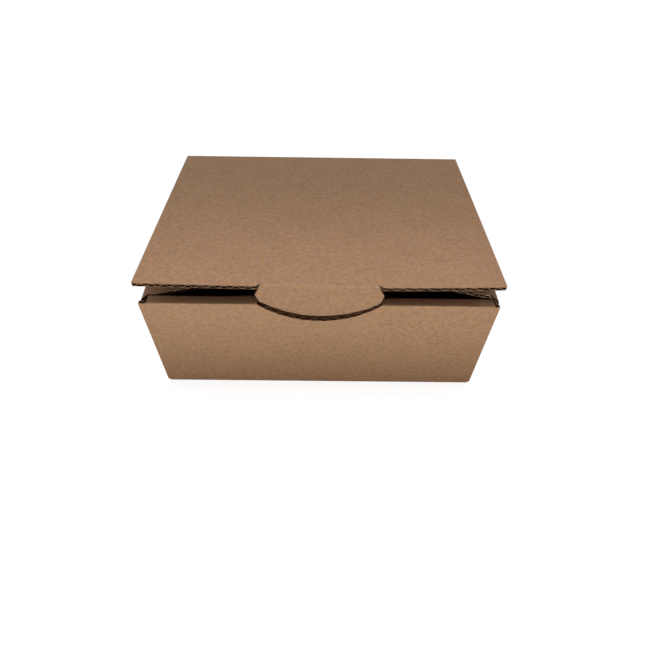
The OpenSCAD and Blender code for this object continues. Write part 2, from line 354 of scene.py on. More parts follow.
@dataclass(frozen=True)
class Bend:
    """A fold: a runs round it between an outer and an inner line, and b along its axis."""

    stations: np.ndarray
    outer: np.ndarray
    inner: np.ndarray
    axis: np.ndarray
    board: Board

    @classmethod
    def between(cls, corner: np.ndarray, axis: np.ndarray, leg_a: np.ndarray, leg_b: np.ndarray,
                board: Board, long_a: float = 0.0, radius: float = 0.0) -> "Bend":
        """Folds the board between two flat stretches.

        Args:
            corner: Where the two outer faces would meet, at b = 0.
            axis: Direction of b.
            leg_a: Unit vector from the corner into the first stretch.
            leg_b: Unit vector from the corner into the second stretch.
            board: Sizes of the board.
            long_a: Length taken up on the first stretch, or 0 for the usual one.
            radius: Radius of the outer line, or 0 for the usual one.

        Returns:
            The bend, with a = 0 on the first stretch.
        """
        first_leg = long_a or board.leg
        half = math.acos(float(leg_a @ leg_b)) / 2
        sweep = math.pi - 2 * half
        middle = (leg_a + leg_b) / np.linalg.norm(leg_a + leg_b)
        inner_corner = corner + middle * board.thick / math.sin(half)
        lines = []
        for start, r, cut in ((corner, radius or board.fold_r, 0.0),
                              (inner_corner, board.inner_r, board.thick / math.tan(half))):
            reach = r / math.tan(half)
            centre = start + middle * r / math.sin(half)
            first, last = (start + leg * reach - centre for leg in (leg_a, leg_b))
            line = [start + leg_a * d for d in np.linspace(first_leg - cut, reach, LEG_POINTS)]
            for t in np.linspace(0, 1, FOLD_CHORDS + 1)[1:-1]:
                turned = math.sin((1 - t) * sweep) * first + math.sin(t * sweep) * last
                line.append(centre + turned / math.sin(sweep))
            line += [start + leg_b * d for d in np.linspace(reach, board.leg - cut, LEG_POINTS)]
            lines.append(np.array(line))
        return cls(gone_along(lines[0]), lines[0], lines[1], axis, board)

    @property
    def length(self) -> float:
        """Length of the outer line."""
        return float(self.stations[-1])

    def place(self, a: np.ndarray, b: np.ndarray, depth: np.ndarray) -> np.ndarray:
        """Points in the frame for sheet points and depths.

        Args:
            a: Distance round the fold.
            b: Distance along its axis.
            depth: Depth below the outer face.

        Returns:
            The points.
        """
        out, inn = (np.stack([np.interp(a, self.stations, line[:, k]) for k in range(3)], axis=1)
                    for line in (self.outer, self.inner))
        return out + (inn - out) * (depth / self.board.thick)[:, None] + np.outer(b, self.axis)

    def squash(self, a: np.ndarray) -> np.ndarray:
        """Share of the flutes' height that is crushed, most at the middle of the fold."""
        bend = np.sin(np.pi * np.clip(a / self.length, 0, 1))
        return self.board.crush * bend**self.board.crush_power

    def rub_and_highlight_share(self, a: np.ndarray) -> np.ndarray:
        """How pale the fold is from rubbing and a painted highlight, most at its middle."""
        return np.exp(-(((a - self.length / 2) / self.board.rub_and_highlight_half) ** 2))


@dataclass(frozen=True)
class Settling:
    """How the folded board has settled out of its true form, in mm.

    Spring, sag and press are the largest moves. Each pair of values is where a move starts to fade
    and how far it takes to do so.
    """

    sizes: BoxSizes
    spring: float = 2.4
    spring_behind: Point = (62.0, 50.0)
    sag: float = 1.9
    sag_ahead: float = 1.6
    sag_sides: Point = (1.3, 2.2)
    press: float = 1.3
    press_above: Point = (11.0, 17.0)
    press_right: Point = (42.0, 36.0)
    bulge_depth: float = 1.6
    bulge_beside: Point = (62.0, 22.0)
    bulge_foot: Point = (8.0, 45.0)

    def sprung(self, points: np.ndarray) -> np.ndarray:
        """Springs the front end of a side wall and its flap up, more the higher a point is.

        Args:
            points: Points in the frame.

        Returns:
            The moved points.
        """
        start, run = self.spring_behind
        share = eased((self.sizes.front_y + start - points[:, 1]) / run)
        height = np.clip(points[:, 2] / self.sizes.wall_h, 0, 1)
        return points + np.outer(self.spring * share * height**2, Z)

    def pulled(self, points: np.ndarray) -> np.ndarray:
        """Pulls the lid's front down at the tongue, and less towards its two corners.

        Args:
            points: Points in the frame.

        Returns:
            The moved points.
        """
        s = self.sizes
        ahead = np.clip((s.back_y - points[:, 1]) / s.depth, 0, 1) ** self.sag_ahead
        power = np.where(points[:, 0] < 0, *self.sag_sides)
        beside = np.clip(np.abs(points[:, 0]) * 2 / s.width, 0, 1) ** power
        return points - np.outer(self.sag * ahead * (1 - beside), Z)

    def inward(self, points: np.ndarray) -> np.ndarray:
        """How far the tongue stands back in its pocket, most at its left.

        Args:
            points: Points in the frame.

        Returns:
            A distance for each point.
        """
        above, drop = self.press_above
        right, run = self.press_right
        deep = eased((self.sizes.wall_h + above - points[:, 2]) / drop)
        return self.press * deep * eased((right - points[:, 0]) / run)

    def tucked(self, points: np.ndarray) -> np.ndarray:
        """Sets the tongue's lower part back."""
        return points + np.outer(self.inward(points), Y)

    def pushed(self, points: np.ndarray) -> np.ndarray:
        """Bulges the roll-over panel into the box behind the tongue.

        Args:
            points: Points in the frame.

        Returns:
            The moved points.
        """
        s = self.sizes
        side, fade = self.bulge_beside
        foot, rise = self.bulge_foot
        share = eased((points[:, 1] - (s.front_y + s.roll_y) / 2) / self.bulge_depth)
        share = share * eased((side - np.abs(points[:, 0])) / fade)
        share = share * eased((points[:, 2] - foot) / rise)
        return points + np.outer(self.inward(points) * share, Y)


@dataclass
class Stretch:
    """One flat or folded stretch of the sheet, as a sub-assembly lists it.

    Args:
        leaf: How the stretch lies in the frame.
        outline: Its outline in a and b.
        flutes: Which way its flutes run.
        shift: What turns a and b into the whole sheet's values.
        holes: Outlines of its holes.
        turn: 1 where a grows with the sheet's value, and -1 where it falls.
        coarse: True where it isn't seen closely.
        fine: Into how many parts its liners' usual steps are divided.
        bow: How far the middle of a flat stretch stands out.
        rub_and_highlight: How much its fold shows pale rubbing and a painted highlight.
        moves: How its points have settled out of the true form.
    """

    leaf: Flat | Bend
    outline: Outline
    flutes: Flutes
    shift: Point = (0.0, 0.0)
    holes: list[Outline] = field(default_factory=list)
    turn: int = 1
    coarse: bool = False
    fine: int = 1
    bow: float = 0.0
    rub_and_highlight: float = 1.0
    moves: tuple[Move, ...] = ()


def show(name: str, data: bpy.types.ID) -> Piece:
    """Makes an object from its data and puts it in the scene.

    Args:
        name: Its name.
        data: Its mesh, lamp or camera.

    Returns:
        The object.
    """
    made = bpy.data.objects.new(name, data)
    bpy.context.scene.collection.objects.link(made)
    return made


def show_paper(mesh: bpy.types.Mesh, work: bmesh.types.BMesh, sharp: float) -> Piece:
    """Puts finished paper in the scene, with its sharp edges kept.

    Args:
        mesh: The mesh that takes the work.
        work: The mesh's points and faces after the last edit.
        sharp: Edges that turn by more than this many degrees stay sharp.

    Returns:
        The object, which has the mesh's name.
    """
    work.to_mesh(mesh)
    work.free()
    mesh.shade_smooth()
    mesh.set_sharp_from_angle(angle=math.radians(sharp))
    return show(mesh.name, mesh)


def note(mesh: bpy.types.Mesh, domain: str, sheet: np.ndarray, rub_and_highlight_amounts: np.ndarray) -> None:
    """Notes on a mesh where each spot lies in the flat sheet, and how pale its fold is from rubbing
    and a painted highlight.

    Args:
        mesh: The mesh.
        domain: CORNER or POINT.
        sheet: Places in the flat sheet, in mm.
        rub_and_highlight_amounts: Rubbing and painted highlight at each place, from 0 to 1.
    """
    for name, kind, key, values in (("sheet", "FLOAT_VECTOR", "vector", sheet),
                                    ("crease", "FLOAT", "value", rub_and_highlight_amounts)):
        made = mesh.attributes.new(name, kind, domain)
        made.data.foreach_set(key, values.astype(np.float32).ravel())


def divided(outline: Outline, holes: list[Outline],
            cuts: list[list[float]]) -> tuple[np.ndarray, list[Face]]:
    """Fills an outline and divides it along straight lines.

    Args:
        outline: The outline's corners.
        holes: Outlines of its holes.
        cuts: Values of a, and values of b, at which it is divided.

    Returns:
        The points in a and b, and the faces over them.
    """
    work = bmesh.new()
    area = sum(p[0] * q[1] - q[0] * p[1] for p, q in zip(outline, outline[1:] + outline[:1]))
    outline = outline if area > 0 else outline[::-1]
    rings = [[work.verts.new((x, y, 0.0)) for x, y in loop] for loop in [outline, *holes]]
    if holes:
        for ring in rings:
            for pair in zip(ring, ring[1:] + ring[:1]):
                work.edges.new(pair)
        bmesh.ops.triangle_fill(work, use_beauty=True, edges=work.edges[:], normal=(0, 0, 1))
    else:
        work.faces.new(rings[0])
    for normal, values in zip((X, Y), cuts):
        for value in values:
            bmesh.ops.bisect_plane(work, geom=work.verts[:] + work.edges[:] + work.faces[:],
                                   dist=TOUCH, plane_co=normal * value, plane_no=normal)
    work.verts.index_update()
    points = np.array([v.co[:2] for v in work.verts], float)
    faces = [tuple(v.index for v in face.verts) for face in work.faces]
    work.free()
    return points, faces


class PaperMesh:
    """Collects the stretches of one ply and welds them into a closed sheet."""

    def __init__(self, ply: Ply, board: Board) -> None:
        """Starts an empty ply of that board.

        Args:
            ply: Which paper it is.
            board: Sizes of the board.
        """
        self.ply, self.board = ply, board
        self.points: list[np.ndarray] = []
        self.sheet: list[np.ndarray] = []
        self.rub_and_highlight_amounts: list[np.ndarray] = []
        self.faces: list[Face] = []
        self.kinds: list[int] = []
        self.count = 0

    def lines(self, low: float, high: float, offset: float, stretch: Stretch) -> list[float]:
        """Where a stretch is divided across the flutes.

        Args:
            low: Smallest value across the flutes.
            high: Largest value.
            offset: What is added to the stretch's own value to give the sheet's.
            stretch: The stretch.

        Returns:
            The dividing lines, in the stretch's own values.
        """
        parts = COARSE_STEPS if stretch.coarse else WAVE_STEPS
        step = self.board.pitch / (parts if self.ply is Ply.FLUTE else stretch.fine)
        first, last = math.ceil((low + offset) / step), math.floor((high + offset) / step)
        return [k * step - offset for k in range(first, last + 1)]

    def add(self, stretch: Stretch) -> None:
        """Adds one stretch of the sheet.

        Args:
            stretch: The stretch.
        """
        leaf, shift = stretch.leaf, stretch.shift
        across = 1 if stretch.flutes is Flutes.ALONG_A else 0
        along = 1 - across
        span = np.array(stretch.outline)
        low, high = span.min(0), span.max(0)
        cuts: list[list[float]] = [[], []]
        cuts[across] = self.lines(low[across], high[across], shift[across], stretch)
        steps = max(1, round((high[along] - low[along]) * stretch.fine / GRID))
        cuts[along] = list(np.linspace(low[along], high[along], steps + 1)[1:-1])
        if isinstance(leaf, Bend):
            cuts[0] = sorted(set(leaf.stations[1:-1]) | set([] if across else cuts[0]))
        flat, faces = divided(stretch.outline, stretch.holes, cuts)
        a, b = flat[:, 0], flat[:, 1]
        depths = self.depths(leaf, a, flat[:, across] + shift[across])
        if stretch.bow:
            rise, run = (np.sin(np.pi * (v - v0) / (v1 - v0))
                         for v, v0, v1 in zip((a, b), low, high))
            crown = stretch.bow * rise * (CROWN_ENDS + (1 - CROWN_ENDS) * run)
            depths = [depth - crown for depth in depths]
        sides = [leaf.place(a, b, depth) for depth in depths]
        for move in stretch.moves:
            sides = [move(side) for side in sides]
        self.close(sides[0], sides[1], faces)
        where = [a * stretch.turn + shift[0], b + shift[1], np.zeros_like(a)]
        if across:
            where[:2] = where[1::-1]
        self.sheet += [np.stack(where, axis=1)] * 2
        # Pale rubbing and painted highlight along the folds
        self.rub_and_highlight_amounts += [leaf.rub_and_highlight_share(a) * stretch.rub_and_highlight] * 2

    def depths(self, leaf: Flat | Bend, a: np.ndarray, u: np.ndarray) -> list[np.ndarray]:
        """Depths of the ply's two faces.

        Args:
            leaf: The stretch.
            a: Its first value at each point.
            u: Distance across the flutes at each point.

        Returns:
            Depth of the face nearer the outside of the board, and of the other.
        """
        board = self.board
        if self.ply is Ply.FLUTE:
            return list(board.wave(u, leaf.squash(a)))
        face = 0.0 if self.ply is Ply.OUTER else board.thick - board.liner
        return [np.full_like(u, face), np.full_like(u, face + board.liner)]

    def close(self, near: np.ndarray, far: np.ndarray, faces: list[Face]) -> None:
        """Adds both faces of a stretch and the cut edge round it.

        Args:
            near: Points of the face nearer the outside.
            far: Points of the other face.
            faces: The faces over them.
        """
        size, start = len(near), self.count
        self.points += [near, far]
        self.count += 2 * size
        uses: dict[frozenset[int], int] = {}
        for face in faces:
            for pair in zip(face, face[1:] + face[:1]):
                uses[frozenset(pair)] = uses.get(frozenset(pair), 0) + 1
        widest = list(max(faces, key=lambda face: float(np.ptp(near[list(face)], axis=0).sum())))
        ring = near[widest]
        normal = np.cross(ring, np.roll(ring, -1, axis=0)).sum(0)
        if float(normal @ (far - near)[widest].mean(0)) > 0:
            faces = [face[::-1] for face in faces]
        # The liners' sides facing the flutes take the painted shade of the channels
        outward = CHANNEL_SHADE if self.ply is Ply.INNER else PAPER
        inward = CHANNEL_SHADE if self.ply is Ply.OUTER else PAPER
        for face in faces:
            self.faces.append(tuple(start + i for i in face))
            self.faces.append(tuple(start + size + i for i in reversed(face)))
            self.kinds += [outward, inward]
            for i, j in zip(face, face[1:] + face[:1]):
                if uses[frozenset((i, j))] == 1:
                    low, high = start + i, start + j
                    self.faces.append((high, low, low + size, high + size))
                    self.kinds.append(CUT)

    def build(self, name: str) -> Piece:
        """Makes the object, with neighbouring stretches welded into one sheet.

        Args:
            name: Name of the piece.

        Returns:
            The object.
        """
        mesh = bpy.data.meshes.new(name)
        mesh.from_pydata((np.vstack(self.points) * MM).tolist(), [], self.faces)
        mesh.polygons.foreach_set("material_index", self.kinds)
        corner = np.zeros(len(mesh.loops), np.int32)
        mesh.loops.foreach_get("vertex_index", corner)
        note(mesh, "CORNER", np.vstack(self.sheet)[corner], np.concatenate(self.rub_and_highlight_amounts)[corner])
        work = bmesh.new()
        work.from_mesh(mesh)
        bmesh.ops.remove_doubles(work, verts=work.verts, dist=WELD)
        # A cut face that welding leaves inside the sheet would bend the paper's shading
        inside = [face for face in work.faces if face.material_index == CUT
                  and sum(len(edge.link_faces) > 2 for edge in face.edges) > 1]
        bmesh.ops.delete(work, geom=inside, context="FACES_ONLY")
        return show_paper(mesh, work, SHARP)


def build_plies(stem: str, stretches: list[Stretch], board: Board) -> dict[Ply, Piece]:
    """Makes the three plies of a folded sheet.

    Args:
        stem: First part of the pieces' names.
        stretches: The stretches of the sheet.
        board: Sizes of the board.

    Returns:
        The piece for each ply.
    """
    made = {}
    for ply in Ply:
        paper = PaperMesh(ply, board)
        for stretch in stretches:
            paper.add(stretch)
        made[ply] = paper.build(f"{stem}_{ply.value}")
    return made


@dataclass
class Tray:
    """The folded sheet up to the hinge crease: bottom, walls, roll-over, ears and dust flaps.

    Slot_rear is the board between the slot and the roll-over fold, and nick the notch's run-out.
    """

    sizes: BoxSizes
    settling: Settling
    roll_shift: float = 0.85
    slot_rear: float = 2.1
    nick: float = 0.4
    nick_points: int = 6
    notch_steps: int = 44
    toe_cut: Point = (0.8, 1.2)
    hem_step: float = 0.8
    flap_steps: int = 10
    ear_r: float = 4.0
    corner_cut: tuple[Point, ...] = ((0.0, 0.0), (0.5, 0.1), (1.0, 0.4), (1.5, 0.9), (2.0, 1.5),
                                     (2.5, 2.2))
    corner_end: Point = (0.6, 0.3)

    def roll(self, rear: Bend, start: float, ends: Point) -> list[Stretch]:
        """Roll-over panel with its feet, and the rear half of the strip.

        Args:
            rear: The fold between them.
            start: Where the fold begins in the whole sheet.
            ends: The panel's left and right ends.

        Returns:
            The two stretches.
        """
        s, leg = self.sizes, self.sizes.board.leg
        left, right = ends
        slot, slot_a = s.notch_w / 2 + s.slot_over, (s.roll_y - s.front_y) / 2 - self.slot_rear
        strip = [(0, left), (0, -slot), (slot_a, -slot), (slot_a, slot), (0, slot), (0, right),
                 (rear.length, right), (rear.length, left)]
        lean = math.radians(s.roll_lean)
        down = vec(0, math.sin(lean), -math.cos(lean))
        hang, toe = (s.wall_h - leg) / math.cos(lean), (s.wall_h - s.foot_recess) / math.cos(lean)
        cut_a, cut_b = self.toe_cut
        feet: Outline = [(leg, right), (leg, left), (hang, left)]
        for hand in HANDS:
            low, high = hand * s.foot_x - s.foot_w / 2, hand * s.foot_x + s.foot_w / 2
            feet += [(hang, low), (toe - cut_a, low), (toe, low + cut_b), (toe, high - cut_b),
                     (toe - cut_a, high), (hang, high)]
        feet.append((hang, right))
        panel = Flat(vec(0, s.roll_y, s.wall_h), down, X, np.cross(down, X))
        moves = (self.settling.pushed,)
        return [
            Stretch(panel, feet[::-1], Flutes.ALONG_A, (start + rear.length - leg, 0),
                    coarse=True, moves=moves),
            Stretch(rear, strip[::-1], Flutes.ALONG_A, (start, 0), moves=moves),
        ]

    def front(self) -> list[Stretch]:
        """Roll-over panel, strip, front panel and the folds between them.

        Returns:
            The stretches, from the feet of the roll-over panel to the bottom fold.
        """
        s, board, leg = self.sizes, self.sizes.board, self.sizes.board.leg
        lean = math.radians(s.roll_lean)
        down = vec(0, math.sin(lean), -math.cos(lean))
        left, right = (hand * (s.width / 2 - s.roll_inset) + self.roll_shift for hand in HANDS)
        half = (s.roll_y - s.front_y) / 2
        rear = Bend.between(vec(0, s.roll_y, s.wall_h), X, -Y, down, board, half)
        fore = Bend.between(vec(0, s.front_y, s.wall_h), X, Y, -Z, board, half, board.crisp_r)
        start = s.wall_h - leg + fore.length
        out = self.roll(rear, start, (left, right))
        slot = s.notch_w / 2 + s.slot_over
        edge = [(0.0, slot), (half - self.nick, slot), (half - self.nick / 2, s.notch_w / 2)]
        for drop in np.linspace(self.nick, leg, self.nick_points):
            edge.append((fore.length - leg + drop, s.notch_half(s.wall_h - drop)))
        for hand, end in zip(HANDS, (-left, right)):
            outline = [(a, hand * b) for a, b in [*edge, (fore.length, end), (0.0, end)]]
            out.append(Stretch(fore, outline, Flutes.ALONG_A, (start, 0), turn=-1))
        top, side = s.wall_h - leg, s.width / 2
        reach = math.degrees(math.asin(s.notch_half(top) / s.notch_r))
        arc = arc_points((0.0, s.notch_z), s.notch_r, 270 - reach, 270 + reach, self.notch_steps)
        wall = [(leg, -side), (s.wall_h, -side), (s.wall_h, left), (top, left),
                *((z, x) for x, z in arc),
                (top, right), (s.wall_h, right), (s.wall_h, side), (leg, side)]
        out.append(Stretch(Flat(vec(0, s.front_y, 0), Z, X, Y), wall, Flutes.ALONG_A))
        return out

    def floor(self) -> list[Stretch]:
        """Bottom panel with its slots, its front and back folds, and the back wall.

        Returns:
            The stretches.
        """
        s, board, leg = self.sizes, self.sizes.board, self.sizes.board.leg
        half_x, half_y = s.side_x - leg, s.depth / 2 - leg
        lean = math.tan(math.radians(s.roll_lean))
        slot_back = s.roll_y + s.wall_h * lean + s.foot_play
        slot_front = s.roll_y + (s.wall_h - board.thick) * lean - board.thick - s.foot_play
        reach = s.foot_w / 2 + s.foot_play
        holes = [box_outline(slot_front, slot_back, hand * s.foot_x - reach,
                             hand * s.foot_x + reach) for hand in HANDS]
        length = Bend.between(vec(0, 0, 0), X, Z, Y, board).length
        begin = leg - length - half_y
        out = [Stretch(Flat(vec(0, 0, 0), Y, X, Z), box_outline(-half_y, half_y, -half_x, half_x),
                       Flutes.ALONG_A, (begin, 0), holes, turn=-1, coarse=True)]
        for end, place in zip(HANDS, (leg, begin - length - half_y)):
            fold = Bend.between(vec(0, end * s.depth / 2, 0), X, Z, -end * Y, board,
                                radius=board.crisp_r if end < 0 else 0.0)
            edge = [(a, s.width / 2 - cut) for a, cut in self.corner_cut]
            edge += [(fold.length - self.corner_end[0], half_x + self.corner_end[1]),
                     (fold.length, half_x)]
            out.append(Stretch(fold, mirrored(edge), Flutes.ALONG_A, (place, 0), turn=end))
        wall = box_outline(leg, s.wall_h - s.hinge_gap, -s.width / 2, s.width / 2)
        out.append(Stretch(Flat(vec(0, s.back_y, 0), Z, X, -Y), wall, Flutes.ALONG_A,
                           (begin - length - half_y + leg, 0), turn=-1))
        return out

    def side(self, hand: int) -> list[Stretch]:
        """One side wall with its dust flap, its two ears and its folds.

        Args:
            hand: -1 for the left side, and 1 for the right.

        Returns:
            The stretches.
        """
        s, board, leg = self.sizes, self.sizes.board, self.sizes.board.leg
        foot, inward = vec(hand * s.side_x, 0, 0), -hand * X
        head = foot + s.wall_h * Z
        low, high = leg, s.wall_h - leg
        rise = math.radians(s.flap_rise)
        over = inward * math.cos(rise) + Z * math.sin(rise)
        root = Bend.between(foot, Y, inward, Z, board)
        top = Bend.between(head, Y, -Z, over, board)
        last, flap_last = s.side_end_y, s.side_end_y - s.flap_play
        flush, root_last = last - leg, last - board.fold_r
        cut_in = s.side_x - (s.width / 2 - s.roll_inset) + s.flap_play
        clear = s.roll_y + s.flap_play
        rear = math.tan(math.radians(s.rear_taper))
        near = -flap_last + (clear + flap_last) / cut_in * leg
        far = flap_last - rear * leg
        long_part = s.flap_reach - s.flap_shoulder
        front_in = clear + long_part * math.tan(math.radians(s.front_taper))
        hem = [(0.0, -last), (self.hem_step, -last), (top.length - leg, -flap_last),
               (top.length, near), (top.length, far), (top.length - leg, flap_last),
               (self.hem_step, last), (0.0, last)]
        shape = rounded(
            [(leg, near), (cut_in, clear), (s.flap_shoulder, clear), (s.flap_reach, front_in),
             (s.flap_reach, flap_last - rear * s.flap_reach), (leg, far)],
            {3: s.flap_r, 4: s.flap_r}, self.flap_steps)
        start = s.side_x - leg
        on_wall = start + root.length - leg
        on_top = on_wall + high
        flap = Flat(head, over, Y, np.cross(over, Y) * hand)
        out = [
            Stretch(root, box_outline(0, root.length, -root_last, root_last), Flutes.ALONG_B,
                    (start, 0), coarse=True),
            Stretch(Flat(foot, Z, Y, inward), box_outline(low, high, -flush, flush),
                    Flutes.ALONG_B, (on_wall, 0)),
            Stretch(top, hem, Flutes.ALONG_B, (on_top, 0)),
            Stretch(flap, shape, Flutes.ALONG_B, (on_top + top.length - leg, 0)),
        ]
        tip = [(leg, low), (s.ear_l, low + s.ear_taper), (s.ear_l, high - s.ear_taper), (leg, high)]
        ear = rounded(tip, {1: self.ear_r, 2: self.ear_r})
        for end in HANDS:
            corner = foot + end * last * Y
            fold = Bend.between(corner, Z, -end * Y, inward, board)
            out += [
                Stretch(fold, box_outline(0, fold.length, low, high), Flutes.ALONG_A,
                        (end * flush, on_wall), turn=end, coarse=True),
                Stretch(Flat(corner, inward, Z, -end * Y), ear, Flutes.ALONG_A,
                        (end * (flush + fold.length - leg), on_wall), turn=end, coarse=True),
            ]
        if hand > 0:
            for stretch in out:
                stretch.moves = (self.settling.sprung,)
        return out

    def build(self) -> dict[Ply, Piece]:
        """Makes the tray's plies, which ride on the tray and stand for its solid.

        Returns:
            The pieces by ply.
        """
        stretches = self.front() + self.floor() + self.side(-1) + self.side(1)
        made = build_plies("tray", stretches, self.sizes.board)
        for piece in made.values():
            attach(piece, "tray")
            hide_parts("tray")
        return made


@dataclass
class Lid:
    """The sheet beyond the hinge crease: lid panel, tongue fold and tongue.

    Shoulder_ring is the soft corner of a shoulder, as steps from its tip along and across. Hidden is
    how far the tongue reaches below the notch, and play is its room on each side in the slot.
    """

    sizes: BoxSizes
    settling: Settling
    set_back: float = 0.95
    front_r: float = 1.2
    slit_w: float = 0.8
    slit_over: float = 1.2
    slit_slant: float = 42.0
    slit_nick: float = 0.3
    shoulder_over: float = 1.1
    shoulder_drop: float = 8.5
    shoulder_ring: tuple[Point, ...] = ((-1.0, -0.35), (0.0, 0.0), (1.2, -0.3))
    hidden: float = 4.0
    entry_rise: float = 1.0
    play: float = 0.5
    arc_steps: int = 40
    bow: float = 0.25
    # Strength of the tongue fold's pale rubbing and painted highlight
    fold_rub_and_highlight: float = 0.12
    fine: int = 4
    sheet_a: float = 300.0

    def tongue(self, corner_z: float, start: Point) -> Outline:
        """The tongue's outline, from its waist over its shoulders to its arc.

        Args:
            corner_z: Height of the tongue's fold.
            start: Where the outline starts, below the fold.

        Returns:
            The outline, in distances below the fold and across.
        """
        s, half = self.sizes, self.sizes.notch_w / 2
        slope = math.cos(math.radians(s.tongue_lean))
        tip = (corner_z - (s.wall_h - s.notch_d) + self.hidden) / slope
        entry = (corner_z - s.wall_h) / slope
        radius = s.notch_r + self.hidden
        sweep = math.degrees(math.asin((half - 2 * self.play) / radius))
        side = [start]
        side += [(self.shoulder_drop + a, half + self.shoulder_over + b)
                 for a, b in self.shoulder_ring]
        side.append((entry - self.entry_rise, half - self.play))
        arc = arc_points((tip - radius, 0.0), radius, sweep, -sweep, self.arc_steps)
        return side + [(max(a, entry), b) for a, b in arc] + [(a, -b) for a, b in side[::-1]]

    def stretches(self) -> list[Stretch]:
        """The lid's three stretches.

        Returns:
            Lid panel, fold and tongue.
        """
        s, board, leg = self.sizes, self.sizes.board, self.sizes.board.leg
        ajar, lean, slant = (math.radians(v) for v in (s.ajar, s.tongue_lean, self.slit_slant))
        ahead = vec(0, -math.cos(ajar), math.sin(ajar))
        under = vec(0, -math.sin(ajar), -math.cos(ajar))
        down = vec(0, math.sin(lean), -math.cos(lean))
        hinge = vec(0, s.back_y, s.hinge_z)
        run, root = s.fold_run, s.tongue_root / 2
        begin, front = run - leg, run + self.set_back
        # The slit beside the tongue's root, as points across the lid and along it
        start = np.array([root - self.slit_w / 2, run - self.slit_over])
        away = np.array([math.sin(slant), math.cos(slant)])
        wide = np.array([math.cos(slant), -math.sin(slant)]) * self.slit_w
        far = start + wide
        mouth = far + away * (front - far[1]) / away[1]
        meet = start[1] + wide[1] * (root - start[0]) / wide[0]
        edge = [(begin, root), (meet, root), (far[1], far[0]), (front, mouth[0]),
                (front, s.width / 2), (leg, s.width / 2)]
        panel = rounded(mirrored(edge), {4: self.front_r, 7: self.front_r})
        corner = hinge + ahead * run
        fold = Bend.between(corner, X, -ahead, down, board)
        waist = (self.shoulder_over + s.notch_w / 2 - root) / self.shoulder_drop
        neck = root + waist * leg
        at_fold, knee = start[0] + away[0] * self.slit_over / away[1], fold.length / 2
        turned = mirrored([(0.0, root), (meet - begin, root), (leg - self.slit_over, start[0]),
                           (knee - self.slit_nick, at_fold - self.slit_nick),
                           (knee + self.slit_nick, at_fold), (fold.length, neck)])
        shape = self.tongue(corner[2], (leg, neck))
        hung = Flat(corner, down, X, vec(0, math.cos(lean), math.sin(lean)))
        settled = (self.settling.tucked, self.settling.pulled)
        place = self.sheet_a + begin
        return [
            Stretch(Flat(hinge, ahead, X, under), panel, Flutes.ALONG_A, (self.sheet_a, 0),
                    fine=self.fine, bow=self.bow, moves=settled[1:]),
            Stretch(fold, turned, Flutes.ALONG_A, (place, 0),
                    fine=self.fine, rub_and_highlight=self.fold_rub_and_highlight, moves=settled),
            Stretch(hung, shape, Flutes.ALONG_A, (place + fold.length - leg, 0),
                    fine=self.fine, moves=settled),
        ]

    def build(self) -> dict[Ply, Piece]:
        """Makes the lid's plies, which ride on the lid and stand for its solid.

        Returns:
            The pieces by ply.
        """
        made = build_plies("lid", self.stretches(), self.sizes.board)
        for piece in made.values():
            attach(piece, "lid")
            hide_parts("lid")
        return made


